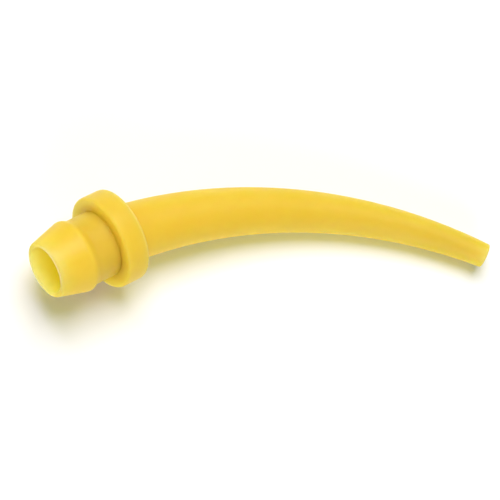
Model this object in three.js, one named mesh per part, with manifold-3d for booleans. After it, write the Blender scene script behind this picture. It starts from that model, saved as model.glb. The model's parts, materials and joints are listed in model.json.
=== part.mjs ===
// Curved intraoral tip: a barbed snap plug, a stop collar and a curved, tapering cannula.
// Millimetres. Every piece is made about the hub axis: +X runs from the plug's mouth to the
// cannula, x = 0 is the collar's front face, and the cannula bends towards -Y.
// The finished tip then lies on its side on z = 0, the way it rests on a table.
import * as THREE from "three";
import { mergeVertices } from "three/addons/utils/BufferGeometryUtils.js";
import Module from "manifold-3d";

const wasm = await Module();
wasm.setup();

// Collar
const collarRadius = 4.5;
const collarThickness = 2.35;
const collarEdge = 0.15;

// Snap plug, measured forward from the collar's front face
const plugLength = 6.15;
const mouthRadius = 2.7;
const mouthEdge = 0.15;
const barbRadius = 3.5;
const barbPosition = 2.95;
const neckRadius = 3.2;
const neckLength = 2.5;
const mouthBoreRadius = 2.25;
const hubBoreRadius = 1.85;

// Cannula
const cannulaLength = 37.6;
const rootRadius = 2.8;
const outletRadius = 1.2;
const bellyRadius = 0.05;
const outletEdge = 0.15;
const bendRadius = 46.1;
const startAngle = THREE.MathUtils.degToRad(7.05);
const startOffset = 0.18;
const rootBoreRadius = 1.5;
const outletBoreRadius = 0.6;

// Push-fit joint: the neck sits in a recess in the collar's front, and the cannula's straight
// spigot goes through the collar into the plug's socket
const spigotRadius = 2.45;
const socketDepth = 2.3;
const spigotTipGap = 0.1;
const recessDepth = 0.4;
const fitGap = 0.03;

// How it lies: rolled about the hub axis, then sloping down towards the cannula
const restRoll = THREE.MathUtils.degToRad(-11.25);
const restSlope = THREE.MathUtils.degToRad(11.1);

// Facets, and the oversize of the solids that only cut or overlap others
const aroundFacets = 48;
const alongFacets = 24;
const overrun = 1;
const blockSize = 17;
const mergeTolerance = 1e-5;

const plasticColor = 0xf0cb44;
const plasticRoughness = 0.45;

function plastic() {
  return new THREE.MeshStandardMaterial({
    color: plasticColor,
    roughness: plasticRoughness,
    metalness: 0,
  });
}

// A solid of revolution about +X from a closed outline of [x, radius] points.
function revolve(outline) {
  const points = outline.map(([x, radius]) => new THREE.Vector2(radius, x));
  const geometry = new THREE.LatheGeometry(points, aroundFacets);
  geometry.rotateZ(-Math.PI / 2);
  return geometry;
}

// The cannula's centreline: a circular arc that leaves the collar's rear face at startAngle,
// carried on as a straight line for a negative distance.
function centreline(distance) {
  const turned = Math.max(distance, 0) / bendRadius;
  const angle = startAngle + turned;
  const straight = Math.min(distance, 0);
  const along = bendRadius * (Math.sin(angle) - Math.sin(startAngle));
  const aside = bendRadius * (Math.cos(startAngle) - Math.cos(angle));
  return {
    x: collarThickness + along + straight * Math.cos(startAngle),
    y: -startOffset - aside - straight * Math.sin(startAngle),
    angle,
  };
}

// Bends a solid of revolution so that its axis follows the centreline.
function bend(geometry) {
  const position = geometry.getAttribute("position");
  for (let index = 0; index < position.count; index += 1) {
    const centre = centreline(position.getX(index));
    const across = position.getY(index);
    const x = centre.x + across * Math.sin(centre.angle);
    const y = centre.y + across * Math.cos(centre.angle);
    position.setXYZ(index, x, y, position.getZ(index));
  }
  return geometry;
}

function solid(geometry) {
  const bare = geometry.clone();
  bare.deleteAttribute("normal");
  bare.deleteAttribute("uv");
  const merged = mergeVertices(bare, mergeTolerance);
  const index = merged.getIndex().array;
  const kept = [];
  for (let start = 0; start < index.length; start += 3) {
    const [a, b, c] = index.slice(start, start + 3);
    if (a !== b && b !== c && c !== a) kept.push(a, b, c);
  }
  const mesh = new wasm.Mesh({
    numProp: 3,
    vertProperties: new Float32Array(merged.getAttribute("position").array),
    triVerts: new Uint32Array(kept),
  });
  return new wasm.Manifold(mesh);
}

function geometryOf(manifold) {
  const mesh = manifold.getMesh();
  const geometry = new THREE.BufferGeometry();
  geometry.setAttribute("position", new THREE.BufferAttribute(mesh.vertProperties, 3));
  geometry.setIndex(new THREE.BufferAttribute(mesh.triVerts, 1));
  geometry.computeVertexNormals();
  return geometry;
}

// Barbed nose, straight neck, and a socket in the rear for the cannula's spigot.
function snapPlug() {
  const socketRadius = spigotRadius + fitGap;
  const rear = recessDepth - fitGap;
  const outline = [
    [-plugLength, mouthBoreRadius + mouthEdge],
    [-plugLength, mouthRadius - mouthEdge],
    [-plugLength + mouthEdge, mouthRadius],
    [-barbPosition, barbRadius],
    [-neckLength, neckRadius],
    [rear, neckRadius],
    [rear, socketRadius],
    [-socketDepth, socketRadius],
    [-socketDepth, hubBoreRadius],
    [-plugLength + mouthEdge, mouthBoreRadius],
    [-plugLength, mouthBoreRadius + mouthEdge],
  ];
  return revolve(outline);
}

// Ring with its outer edges broken and a shallow recess in front for the neck.
function stopCollar() {
  const boreRadius = spigotRadius + fitGap;
  const recessRadius = neckRadius + fitGap;
  const outline = [
    [0, recessRadius],
    [0, collarRadius - collarEdge],
    [collarEdge, collarRadius],
    [collarThickness - collarEdge, collarRadius],
    [collarThickness, collarRadius - collarEdge],
    [collarThickness, boreRadius],
    [recessDepth, boreRadius],
    [recessDepth, recessRadius],
    [0, recessRadius],
  ];
  return revolve(outline);
}

// The tapering skin of the cannula before it is bent, from behind the collar's rear face.
function taperedOutline() {
  const outline = [[-overrun, 0]];
  const end = cannulaLength - outletEdge;
  outline.push([-overrun, rootRadius]);
  for (let step = 0; step <= alongFacets; step += 1) {
    const part = (step / alongFacets) * (end / cannulaLength);
    const belly = bellyRadius * 4 * part * (1 - part);
    const radius = THREE.MathUtils.lerp(rootRadius, outletRadius, part) + belly;
    outline.push([part * cannulaLength, radius]);
  }
  outline.push([cannulaLength, outletRadius - outletEdge]);
  outline.push([cannulaLength, 0]);
  return outline;
}

function taperedBoreOutline() {
  const outline = [[-overrun, 0]];
  outline.push([-overrun, rootBoreRadius]);
  for (let step = 0; step <= alongFacets; step += 1) {
    const part = step / alongFacets;
    const radius = THREE.MathUtils.lerp(rootBoreRadius, outletBoreRadius, part);
    outline.push([part * cannulaLength, radius]);
  }
  outline.push([cannulaLength + overrun, outletBoreRadius]);
  outline.push([cannulaLength + overrun, 0]);
  return outline;
}

function rod(from, to, radius) {
  return revolve([
    [from, 0],
    [from, radius],
    [to, radius],
    [to, 0],
  ]);
}

// Curved hollow taper whose flat shoulder meets the collar, on a straight hollow spigot.
function curvedCannula() {
  const shoulder = collarThickness + fitGap;
  const block = new THREE.BoxGeometry(blockSize, blockSize, blockSize);
  block.translate(shoulder - blockSize / 2, 0, 0);
  const spigotStart = -socketDepth + spigotTipGap;
  const skin = solid(bend(revolve(taperedOutline()))).subtract(solid(block));
  const spigot = solid(rod(spigotStart, shoulder + overrun, spigotRadius));
  const hubBore = solid(rod(spigotStart - overrun, shoulder, hubBoreRadius));
  const taperedBore = solid(bend(revolve(taperedBoreOutline())));
  return geometryOf(skin.add(spigot).subtract(hubBore).subtract(taperedBore));
}

function named(name, geometry) {
  const mesh = new THREE.Mesh(geometry, plastic());
  mesh.name = name;
  return mesh;
}

const lying = new THREE.Group();
lying.add(named("snap_plug", snapPlug()));
lying.add(named("stop_collar", stopCollar()));
lying.add(named("curved_cannula", curvedCannula()));
lying.rotation.set(restRoll, restSlope, 0, "YXZ");

const tip = new THREE.Group();
tip.add(lying);
tip.updateMatrixWorld(true);
const box = new THREE.Box3().setFromObject(tip, true);
const centre = box.getCenter(new THREE.Vector3());
lying.position.set(-centre.x, -centre.y, -box.min.z);

export default tip;
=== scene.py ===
"""A curved intraoral dental tip lying on its side on a pale table.

The CAD frame gives the place, the size and the direction of the hub. The plug, the collar and
the cannula are made here again as finely rounded mouldings round the same hub axis, and each
replaces the CAD node of its name. Hub coordinates have +X from the plug's mouth to the cannula
and x = 0 on the collar's front face, and the cannula bends towards -Y. Lengths are in metres;
MM turns millimetres into metres.
"""
import json
import math

import bmesh
import bpy
from mathutils import Matrix, Vector


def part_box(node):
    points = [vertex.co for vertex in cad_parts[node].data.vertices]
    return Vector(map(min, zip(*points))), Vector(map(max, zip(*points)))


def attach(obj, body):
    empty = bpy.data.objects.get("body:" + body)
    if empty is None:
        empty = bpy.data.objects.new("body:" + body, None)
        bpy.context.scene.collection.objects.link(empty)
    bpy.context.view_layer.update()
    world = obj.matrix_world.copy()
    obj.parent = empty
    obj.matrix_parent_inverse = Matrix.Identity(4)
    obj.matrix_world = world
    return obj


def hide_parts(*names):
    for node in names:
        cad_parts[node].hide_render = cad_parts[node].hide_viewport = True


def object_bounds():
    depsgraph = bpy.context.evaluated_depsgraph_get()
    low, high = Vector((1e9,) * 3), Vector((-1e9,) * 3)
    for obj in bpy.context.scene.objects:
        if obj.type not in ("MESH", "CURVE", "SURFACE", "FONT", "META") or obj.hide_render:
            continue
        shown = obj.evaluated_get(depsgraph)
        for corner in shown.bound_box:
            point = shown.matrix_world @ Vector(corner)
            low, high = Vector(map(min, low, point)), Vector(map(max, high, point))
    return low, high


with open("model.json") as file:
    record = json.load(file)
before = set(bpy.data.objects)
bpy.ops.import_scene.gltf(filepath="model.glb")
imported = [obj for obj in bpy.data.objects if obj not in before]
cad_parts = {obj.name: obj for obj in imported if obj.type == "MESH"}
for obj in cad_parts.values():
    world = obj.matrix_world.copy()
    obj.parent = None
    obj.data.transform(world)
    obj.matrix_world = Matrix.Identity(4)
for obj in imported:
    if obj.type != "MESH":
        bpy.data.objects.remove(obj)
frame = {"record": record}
CAD_LOW, CAD_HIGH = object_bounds()

MM = 0.001

# Collar
COLLAR_RADIUS = 4.49 * MM
COLLAR_THICKNESS = 2.35 * MM
COLLAR_ROUNDING = 0.28 * MM

# Snap plug, measured forward from the collar's front face
PLUG_LENGTH = 6.14 * MM
MOUTH_RADIUS = 2.69 * MM
MOUTH_ROUNDING = 0.2 * MM
MOUTH_BORE_ROUNDING = 0.1 * MM
BARB_RADIUS = 3.52 * MM
BARB_POSITION = 2.95 * MM
BARB_ROUNDING = 0.7 * MM
NECK_RADIUS = 3.2 * MM
NECK_LENGTH = 2.3 * MM
MOUTH_BORE_RADIUS = 2.27 * MM
HUB_BORE_RADIUS = 1.85 * MM

# Cannula: its rings turn square to the hub axis over the settling length next to the collar
CANNULA_LENGTH = 37.56 * MM
ROOT_RADIUS = 2.79 * MM
OUTLET_RADIUS = 1.19 * MM
BELLY_RADIUS = 0.05 * MM
OUTLET_ROUNDING = 0.16 * MM
OUTLET_BORE_ROUNDING = 0.08 * MM
ROOT_FILLET = 0.35 * MM
BEND_RADIUS = 46.1 * MM
START_ANGLE = math.radians(7.05)
START_OFFSET = 0.18 * MM
SETTLING_LENGTH = 3 * MM
ROOT_BORE_RADIUS = 1.5 * MM
OUTLET_BORE_RADIUS = 0.6 * MM

# Push-fit joint
SPIGOT_RADIUS = 2.45 * MM
SPIGOT_TIP_GAP = 0.09 * MM
SOCKET_DEPTH = 2.3 * MM
RECESS_DEPTH = 0.4 * MM
FIT_GAP = 0.03 * MM
SEAM_GAP = 0.01 * MM

# Parting line of the mould, in the plane of the bend
PARTING_HEIGHT = 0.012 * MM

# Steps round a ring, along the cannula, along its bore and round a rounded corner
AROUND = 192
ALONG = 150
BORE_STEPS = 50
ARC_STEPS = 8
SHARP_ANGLE = math.radians(40)

# Plastic: how light wanders in it, the tint of the light that it lets through, and its gloss
MILKINESS = 1.0
SCATTER_COLOR = (0.5, 0.7, 0.45)
SCATTER_DEPTH = 9 * MM
SHADOW_TINT = (0.5, 0.56, 0.01)
PLASTIC_IOR = 1.49
SPECULAR = 0.25
SMOOTHEST = 0.40
ROUGHEST = 0.52

# Clouding between two shades of the plastic, and how far across the noise each one starts
DARK = (0.82, 0.493, 0.035)
LIGHT = (0.86, 0.522, 0.048)
DARK_BELOW = 0.3
LIGHT_ABOVE = 0.72
CLOUD_SCALE = 260
CLOUD_DETAIL = 3
CLOUD_ROUGHNESS = 0.55

# Relief of the moulded skin: noise scale, bump strength and bump height
RELIEF_DETAIL = 2
GRAIN = (5200, 0.25, 0.01 * MM)
RIPPLE = (700, 0.35, 0.04 * MM)

# Camera, and how far it aims from the middle of the CAD box
VIEW_AZIMUTH = math.radians(-74.6)
VIEW_ELEVATION = math.radians(70.1)
VIEW_ROLL = math.radians(45.2)
VIEW_DISTANCE = 200 * MM
VIEW_OFFSET = Vector((-2.97, -0.18, 3.41)) * MM
LENS_MM = 156.9
CLIP_START = 10 * MM
CLIP_END = 10

# Soft boxes: name, watts, and how far each leans from straight overhead, towards the top and
# the right of the picture
SOFT_BOXES = [
    ("key", 4.35, 0.4, -0.04),
    ("front_fill", 1.75, -3.0, 0.0),
    ("side_fill", 0.4, 0.0, 4.0),
    ("mouth_fill", 0.45, -1.2, -4.0),
]
LIGHT_DISTANCE = 0.6
LIGHT_SIZE = 0.4

# Backdrop and table
WORLD_STRENGTH = 0.02
BACKDROP_SHADE = 0.9
FLOOR_SIZE = 1.0
FLOOR_DARK = 0.90
FLOOR_LIGHT = 0.92
FLOOR_ROUGHNESS = 0.9
MOTTLE_SCALE = 40


# ---------------------------------------------------------------- camera and light

def view_axes():
    """Right, up and back of the camera."""
    back = Vector((
        math.sin(VIEW_AZIMUTH) * math.cos(VIEW_ELEVATION),
        -math.cos(VIEW_AZIMUTH) * math.cos(VIEW_ELEVATION),
        math.sin(VIEW_ELEVATION),
    ))
    level = Vector((0, 0, 1)).cross(back).normalized()
    upright = back.cross(level)
    right = level * math.cos(VIEW_ROLL) + upright * math.sin(VIEW_ROLL)
    return right, back.cross(right), back


def make_camera():
    right, up, back = view_axes()
    aim = (CAD_LOW + CAD_HIGH) / 2 + VIEW_OFFSET
    data = bpy.data.cameras.new("camera")
    data.lens = LENS_MM
    data.clip_start = CLIP_START
    data.clip_end = CLIP_END
    camera = bpy.data.objects.new("camera", data)
    turn = Matrix((right, up, back)).transposed().to_4x4()
    camera.matrix_world = Matrix.Translation(aim + back * VIEW_DISTANCE) @ turn
    bpy.context.scene.collection.objects.link(camera)
    bpy.context.scene.camera = camera


def make_light(name, direction, watts):
    """A square soft box that faces the middle of the object."""
    middle = (CAD_LOW + CAD_HIGH) / 2
    data = bpy.data.lights.new(name, "AREA")
    data.shape = "SQUARE"
    data.size = LIGHT_SIZE
    data.energy = watts
    light = bpy.data.objects.new(name, data)
    direction = direction.normalized()
    light.location = middle + direction * LIGHT_DISTANCE
    light.rotation_mode = "QUATERNION"
    light.rotation_quaternion = direction.to_track_quat("Z", "Y")
    bpy.context.scene.collection.objects.link(light)


def make_lights():
    right, up = view_axes()[:2]
    behind = Vector((up.x, up.y, 0)).normalized()
    across = Vector((right.x, right.y, 0)).normalized()
    overhead = Vector((0, 0, 1))
    for name, watts, lean, aside in SOFT_BOXES:
        make_light(name, overhead + behind * lean + across * aside, watts)


def make_world():
    """A pale backdrop that gives only a little light of its own."""
    world = bpy.data.worlds.new("studio")
    world.use_nodes = True
    nodes, links = world.node_tree.nodes, world.node_tree.links
    background = nodes["Background"]
    background.inputs["Color"].default_value = (1, 1, 1, 1)
    rays = nodes.new("ShaderNodeLightPath")
    strength = nodes.new("ShaderNodeMapRange")
    strength.inputs["To Min"].default_value = WORLD_STRENGTH
    strength.inputs["To Max"].default_value = BACKDROP_SHADE
    links.new(rays.outputs["Is Camera Ray"], strength.inputs["Value"])
    links.new(strength.outputs["Result"], background.inputs["Strength"])
    bpy.context.scene.world = world
    bpy.context.scene.view_settings.view_transform = "Standard"


def make_floor():
    """The table: a nearly white, faintly mottled matt plane."""
    bpy.ops.mesh.primitive_plane_add(size=FLOOR_SIZE)
    floor = bpy.context.object
    floor.name = "floor"
    material = bpy.data.materials.new("floor_white")
    material.use_nodes = True
    nodes, links = material.node_tree.nodes, material.node_tree.links
    surface = nodes["Principled BSDF"]
    surface.inputs["Roughness"].default_value = FLOOR_ROUGHNESS
    mottle = nodes.new("ShaderNodeTexNoise")
    mottle.inputs["Scale"].default_value = MOTTLE_SCALE
    shades = nodes.new("ShaderNodeValToRGB")
    shades.color_ramp.elements[0].color = (FLOOR_DARK, FLOOR_DARK, FLOOR_DARK, 1)
    shades.color_ramp.elements[1].color = (FLOOR_LIGHT, FLOOR_LIGHT, FLOOR_LIGHT, 1)
    links.new(mottle.outputs["Fac"], shades.inputs["Fac"])
    links.new(shades.outputs["Color"], surface.inputs["Base Color"])
    floor.data.materials.append(material)


# ---------------------------------------------------------------- material

def relief(nodes, links, coordinates, scale, strength, height):
    """A bump node raised by a noise of its own."""
    noise = nodes.new("ShaderNodeTexNoise")
    noise.inputs["Scale"].default_value = scale
    noise.inputs["Detail"].default_value = RELIEF_DETAIL
    bump = nodes.new("ShaderNodeBump")
    bump.inputs["Strength"].default_value = strength
    bump.inputs["Distance"].default_value = height
    links.new(coordinates.outputs["Object"], noise.inputs["Vector"])
    links.new(noise.outputs["Fac"], bump.inputs["Height"])
    return bump


def moulded_plastic(name):
    """Satin, milky yellow plastic with faint clouding and a fine moulded grain."""
    material = bpy.data.materials.new(name)
    material.use_nodes = True
    nodes, links = material.node_tree.nodes, material.node_tree.links
    surface = nodes["Principled BSDF"]
    surface.subsurface_method = "RANDOM_WALK"
    surface.inputs["IOR"].default_value = PLASTIC_IOR
    surface.inputs["Specular IOR Level"].default_value = SPECULAR
    surface.inputs["Subsurface Weight"].default_value = MILKINESS
    surface.inputs["Subsurface Radius"].default_value = SCATTER_COLOR
    surface.inputs["Subsurface Scale"].default_value = SCATTER_DEPTH

    coordinates = nodes.new("ShaderNodeTexCoord")
    cloud = nodes.new("ShaderNodeTexNoise")
    cloud.inputs["Scale"].default_value = CLOUD_SCALE
    cloud.inputs["Detail"].default_value = CLOUD_DETAIL
    cloud.inputs["Roughness"].default_value = CLOUD_ROUGHNESS
    shades = nodes.new("ShaderNodeValToRGB")
    shades.color_ramp.elements[0].position = DARK_BELOW
    shades.color_ramp.elements[0].color = (*DARK, 1)
    shades.color_ramp.elements[1].position = LIGHT_ABOVE
    shades.color_ramp.elements[1].color = (*LIGHT, 1)
    links.new(coordinates.outputs["Object"], cloud.inputs["Vector"])
    links.new(cloud.outputs["Fac"], shades.inputs["Fac"])
    links.new(shades.outputs["Color"], surface.inputs["Base Color"])

    gloss = nodes.new("ShaderNodeMapRange")
    gloss.inputs["To Min"].default_value = SMOOTHEST
    gloss.inputs["To Max"].default_value = ROUGHEST
    links.new(cloud.outputs["Fac"], gloss.inputs["Value"])
    links.new(gloss.outputs["Result"], surface.inputs["Roughness"])

    grain = relief(nodes, links, coordinates, *GRAIN)
    ripple = relief(nodes, links, coordinates, *RIPPLE)
    links.new(grain.outputs["Normal"], ripple.inputs["Normal"])
    links.new(ripple.outputs["Normal"], surface.inputs["Normal"])

    # The soft boxes shine weakly through the plastic, so it throws a yellow shadow
    rays = nodes.new("ShaderNodeLightPath")
    glow = nodes.new("ShaderNodeBsdfTransparent")
    glow.inputs["Color"].default_value = (*SHADOW_TINT, 1)
    either = nodes.new("ShaderNodeMixShader")
    links.new(rays.outputs["Is Shadow Ray"], either.inputs["Fac"])
    links.new(surface.outputs["BSDF"], either.inputs[1])
    links.new(glow.outputs["BSDF"], either.inputs[2])
    links.new(either.outputs["Shader"], nodes["Material Output"].inputs["Surface"])
    return material


# ---------------------------------------------------------------- shaping helpers

def hub_matrix():
    """Hub coordinates to the row frame, from the collar's box and the stop face's mount."""
    mount = next(m for m in frame["record"]["mounts"] if m["name"] == "collar_stop_face")
    along = -Vector(mount["axis"]).normalized()
    low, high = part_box("stop_collar")
    origin = (low + high) / 2 - along * (COLLAR_THICKNESS / 2)
    outward = Vector(mount["pos_m"]) - origin
    up = (outward - along * outward.dot(along)).normalized()
    side = up.cross(along)
    return Matrix.Translation(origin) @ Matrix((along, side, up)).transposed().to_4x4()


def rounded(corners):
    """Turns the (x, radius, rounding) corners of a closed outline into fine points."""
    points = []
    count = len(corners)
    for index, (x, radius, rounding) in enumerate(corners):
        corner = Vector((x, radius))
        if rounding == 0:
            points.append(corner)
            continue
        before = Vector(corners[index - 1][:2]) - corner
        after = Vector(corners[(index + 1) % count][:2]) - corner
        half = before.angle(after) / 2
        reach = rounding / math.tan(half)
        inward = (before.normalized() + after.normalized()).normalized()
        middle = corner + inward * (rounding / math.sin(half))
        start = corner + before.normalized() * reach - middle
        end = corner + after.normalized() * reach - middle
        turn = start.angle_signed(end)
        for step in range(ARC_STEPS + 1):
            angle = -turn * step / ARC_STEPS
            swung = Matrix.Rotation(angle, 2) @ start
            points.append(middle + swung)
    return points


def quarter_turn(step):
    """The angle of a step of a rounded right angle."""
    return math.pi / 2 * step / ARC_STEPS


def angles():
    """The angles of a ring's points about its axis, starting at +Y."""
    return [2 * math.pi * index / AROUND for index in range(AROUND)]


def parting(angle, radius):
    """The radius with the fine raised line where the two mould halves met."""
    half_step = math.pi / AROUND
    return radius + PARTING_HEIGHT if abs(math.sin(angle)) < half_step else radius


def ring(x, radius):
    """A plain ring of points about the hub axis."""
    return [
        Vector((x, radius * math.cos(angle), radius * math.sin(angle))) for angle in angles()
    ]


def lined_ring(x, radius):
    """A ring about the hub axis with the parting line on it."""
    points = []
    for angle in angles():
        reach = parting(angle, radius)
        points.append(Vector((x, reach * math.cos(angle), reach * math.sin(angle))))
    return points


def centreline(distance):
    """Middle of the cannula and its direction at a distance from the collar's rear face."""
    angle = START_ANGLE + max(distance, 0) / BEND_RADIUS
    straight = min(distance, 0)
    x = COLLAR_THICKNESS + BEND_RADIUS * (math.sin(angle) - math.sin(START_ANGLE))
    y = START_OFFSET + BEND_RADIUS * (math.cos(START_ANGLE) - math.cos(angle))
    x += straight * math.cos(START_ANGLE)
    y += straight * math.sin(START_ANGLE)
    return x, -y, angle


def bent_point(distance, radius, around):
    """A point at an angle round the cannula's bent centreline."""
    x, y, angle = centreline(distance)
    across = radius * math.cos(around)
    return Vector((
        x + across * math.sin(angle),
        y + across * math.cos(angle),
        radius * math.sin(around),
    ))


def bent_ring(distance, radius):
    return [bent_point(distance, radius, around) for around in angles()]


def body_of_rings(name, rings, material):
    """A closed hollow body whose rings join each to the next and the last to the first."""
    mesh = bmesh.new()
    rows = [[mesh.verts.new(point) for point in points] for points in rings]
    for first, second in zip(rows, rows[1:] + rows[:1]):
        for index in range(AROUND):
            following = (index + 1) % AROUND
            mesh.faces.new((
                first[index], first[following], second[following], second[index],
            ))
    bmesh.ops.recalc_face_normals(mesh, faces=mesh.faces)
    if mesh.calc_volume(signed=True) < 0:
        bmesh.ops.reverse_faces(mesh, faces=mesh.faces)
    bmesh.ops.transform(mesh, matrix=hub_matrix(), verts=mesh.verts)
    for face in mesh.faces:
        face.smooth = True
    data = bpy.data.meshes.new(name)
    mesh.to_mesh(data)
    mesh.free()
    data.set_sharp_from_angle(angle=SHARP_ANGLE)
    data.materials.append(material)
    piece = bpy.data.objects.new(name, data)
    bpy.context.scene.collection.objects.link(piece)
    return piece


def place(piece, node):
    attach(piece, "root")
    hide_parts(node)


# ---------------------------------------------------------------- pieces

def make_plug(material):
    """Barbed nose and neck, bored, with the socket for the cannula's spigot in its rear."""
    socket = SPIGOT_RADIUS + FIT_GAP
    rear = RECESS_DEPTH - FIT_GAP
    outline = rounded([
        (-PLUG_LENGTH, MOUTH_BORE_RADIUS, MOUTH_BORE_ROUNDING),
        (-PLUG_LENGTH, MOUTH_RADIUS, MOUTH_ROUNDING),
        (-BARB_POSITION, BARB_RADIUS, BARB_ROUNDING),
        (-NECK_LENGTH, NECK_RADIUS, BARB_ROUNDING),
        (rear, NECK_RADIUS, 0),
        (rear, socket, 0),
        (-SOCKET_DEPTH, socket, 0),
        (-SOCKET_DEPTH, HUB_BORE_RADIUS, 0),
    ])
    rings = [lined_ring(x, radius) for x, radius in outline]
    piece = body_of_rings("snap_plug_moulding", rings, material)
    place(piece, "snap_plug")


def make_collar(material):
    """Round stop collar with rounded edges and the recess for the neck."""
    bore = SPIGOT_RADIUS + FIT_GAP
    recess = NECK_RADIUS + SEAM_GAP
    outline = rounded([
        (0, recess, 0),
        (0, COLLAR_RADIUS, COLLAR_ROUNDING),
        (COLLAR_THICKNESS, COLLAR_RADIUS, COLLAR_ROUNDING),
        (COLLAR_THICKNESS, bore, 0),
        (RECESS_DEPTH, bore, 0),
        (RECESS_DEPTH, recess, 0),
    ])
    rings = [lined_ring(x, radius) for x, radius in outline]
    piece = body_of_rings("stop_collar_moulding", rings, material)
    place(piece, "stop_collar")


def skin_radius(distance):
    part = distance / CANNULA_LENGTH
    belly = BELLY_RADIUS * 4 * part * (1 - part)
    return ROOT_RADIUS + (OUTLET_RADIUS - ROOT_RADIUS) * part + belly


def fillet_rise(height):
    """How far the fillet at the cannula's root stands out at a height over the collar."""
    if height >= ROOT_FILLET:
        return 0
    return ROOT_FILLET - math.sqrt(ROOT_FILLET**2 - (ROOT_FILLET - height) ** 2)


def skin_ring(distance):
    """A ring of the cannula's outside, levelled with the collar's face near the root."""
    settled = max(0, 1 - distance / SETTLING_LENGTH)
    radius = skin_radius(distance)
    rear_face = COLLAR_THICKNESS + SEAM_GAP
    points = []
    for around in angles():
        shift = -radius * math.cos(around) * math.tan(START_ANGLE) * settled
        plain = bent_point(distance + shift, radius, around)
        rise = fillet_rise(max(plain.x - rear_face, 0))
        point = bent_point(distance + shift, parting(around, radius + rise), around)
        if distance == 0:
            point.x = rear_face
        points.append(point)
    return points


def spigot_rings():
    """The straight spigot, from its bore's front edge to the cannula's shoulder."""
    start = -SOCKET_DEPTH + SPIGOT_TIP_GAP
    rear_face = COLLAR_THICKNESS + SEAM_GAP
    return [
        ring(start, HUB_BORE_RADIUS),
        ring(start, SPIGOT_RADIUS),
        ring(rear_face, SPIGOT_RADIUS),
    ]


def skin_rings():
    """The outside of the cannula, closely spaced over the fillet, up to the outlet's edge."""
    last = CANNULA_LENGTH - OUTLET_ROUNDING
    distances = [
        ROOT_FILLET * (1 - math.cos(quarter_turn(step))) for step in range(ARC_STEPS)
    ]
    for step in range(ALONG + 1):
        distances.append(ROOT_FILLET + (last - ROOT_FILLET) * step / ALONG)
    return [skin_ring(distance) for distance in distances]


def outlet_rings():
    """The outlet's rounded edges, from the outside to the bore."""
    last = CANNULA_LENGTH - OUTLET_ROUNDING
    rings = []
    for step in range(1, ARC_STEPS + 1):
        distance = last + OUTLET_ROUNDING * math.sin(quarter_turn(step))
        radius = skin_radius(last) - OUTLET_ROUNDING * (1 - math.cos(quarter_turn(step)))
        rings.append(bent_ring(distance, radius))
    for step in range(ARC_STEPS + 1):
        depth = OUTLET_BORE_ROUNDING * (1 - math.cos(quarter_turn(step)))
        radius = OUTLET_BORE_RADIUS + OUTLET_BORE_ROUNDING * (1 - math.sin(quarter_turn(step)))
        rings.append(bent_ring(CANNULA_LENGTH - depth, radius))
    return rings


def bore_rings():
    """The tapered bore from the outlet to the root, then the hub's wider bore."""
    rings = []
    for step in range(1, BORE_STEPS + 1):
        part = step / BORE_STEPS
        radius = OUTLET_BORE_RADIUS + (ROOT_BORE_RADIUS - OUTLET_BORE_RADIUS) * part
        distance = (CANNULA_LENGTH - OUTLET_BORE_ROUNDING) * (1 - part)
        rings.append(bent_ring(distance, radius))
    rings.append(ring(COLLAR_THICKNESS / 2, HUB_BORE_RADIUS))
    return rings


def make_cannula(material):
    """Curved hollow taper with a filleted root and a straight hollow spigot."""
    rings = spigot_rings() + skin_rings() + outlet_rings() + bore_rings()
    piece = body_of_rings("curved_cannula_moulding", rings, material)
    place(piece, "curved_cannula")


make_camera()
make_world()
make_floor()
make_lights()

make_plug(moulded_plastic("plug_plastic"))
make_collar(moulded_plastic("collar_plastic"))
make_cannula(moulded_plastic("cannula_plastic"))
